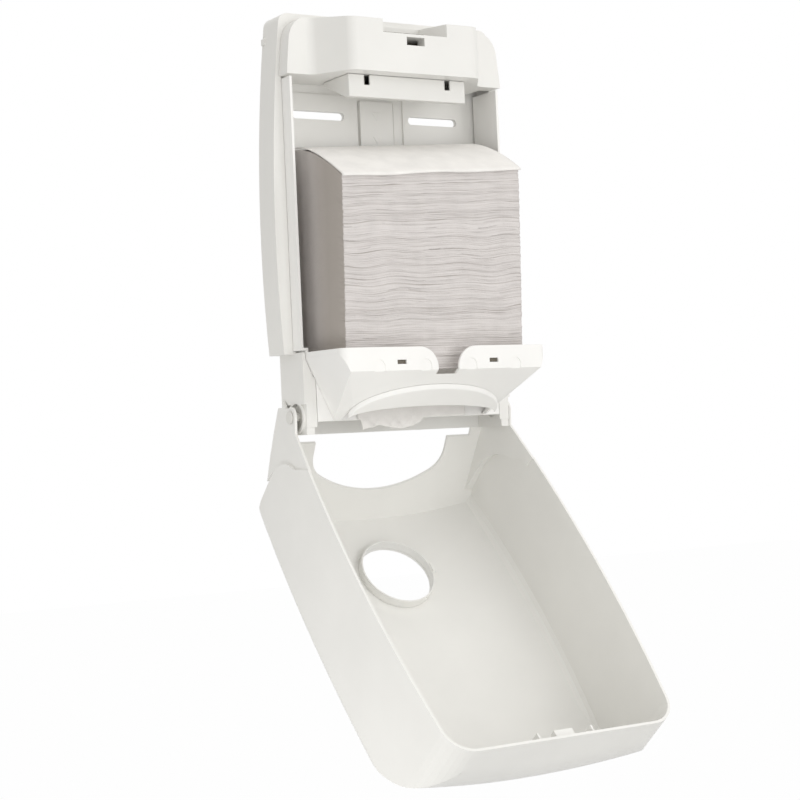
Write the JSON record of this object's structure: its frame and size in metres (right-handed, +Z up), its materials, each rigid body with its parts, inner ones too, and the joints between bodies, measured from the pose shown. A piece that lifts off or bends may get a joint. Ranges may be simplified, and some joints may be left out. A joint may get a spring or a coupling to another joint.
{
  "type": "interfold towel dispenser",
  "caption": "Wall-mounted white dispenser for interfolded paper towels, with a funnel tray and crescent mouth under the stack and a deep bowed cover, hinged at the bottom and swung open.",
  "frame": {"origin": "centre of the four wall slots, on the wall plane at the back of the frame", "axes": "+X to the right seen from the room, +Y into the wall, +Z up"},
  "size_m": [0.265, 0.3377, 0.7195],
  "materials": {
    "frame_plastic": "satin moulded white plastic",
    "magazine_plastic": "satin moulded white plastic",
    "cover_plastic": "satin moulded white plastic",
    "clip_plastic": "moulded off-white plastic",
    "lock_plastic": "moulded dark grey plastic",
    "towel_paper": "soft off-white tissue paper"
  },
  "bodies": {
    "frame": {"wall_frame": "frame_plastic", "spine_strip": "frame_plastic", "lock_housing": "frame_plastic", "lock_carrier": "frame_plastic", "snap_tongue_left": "lock_plastic", "snap_tongue_right": "lock_plastic", "towel_magazine": "magazine_plastic", "towel_shelf": "magazine_plastic", "lip_clip_left": "lock_plastic", "lip_clip_right": "lock_plastic", "mouth_collar": "magazine_plastic", "hinge_bush_left": "clip_plastic", "hinge_bush_right": "clip_plastic"},
    "cover": {"front_cover": "cover_plastic", "sight_ring": "cover_plastic", "latch_catch": "cover_plastic", "hinge_pin_left": "clip_plastic", "hinge_pin_right": "clip_plastic"},
    "lock": {"lock_bar": "lock_plastic"},
    "stack": {"towel_stack": "towel_paper", "top_towel": "towel_paper"},
    "tail": {"towel_tail": "towel_paper"}
  },
  "joints": [
    {"name": "cover_hinge", "type": "hinge", "parent": "frame", "child": "cover", "pos_m": [0, -0.028, -0.195], "axis": [-1, 0, 0], "range_deg": [0, 137.5]},
    {"name": "lock_lift", "type": "slide", "parent": "frame", "child": "lock", "axis": [0, 0, 1], "range_m": [0, 0.006]},
    {"name": "stack_lift", "type": "slide", "parent": "frame", "child": "stack", "axis": [0, -0.5, 0.866], "range_m": [0, 0.03]},
    {"name": "tail_pull", "type": "slide", "parent": "frame", "child": "tail", "axis": [0, 0, -1], "range_m": [0, 0.05]}
  ]
}
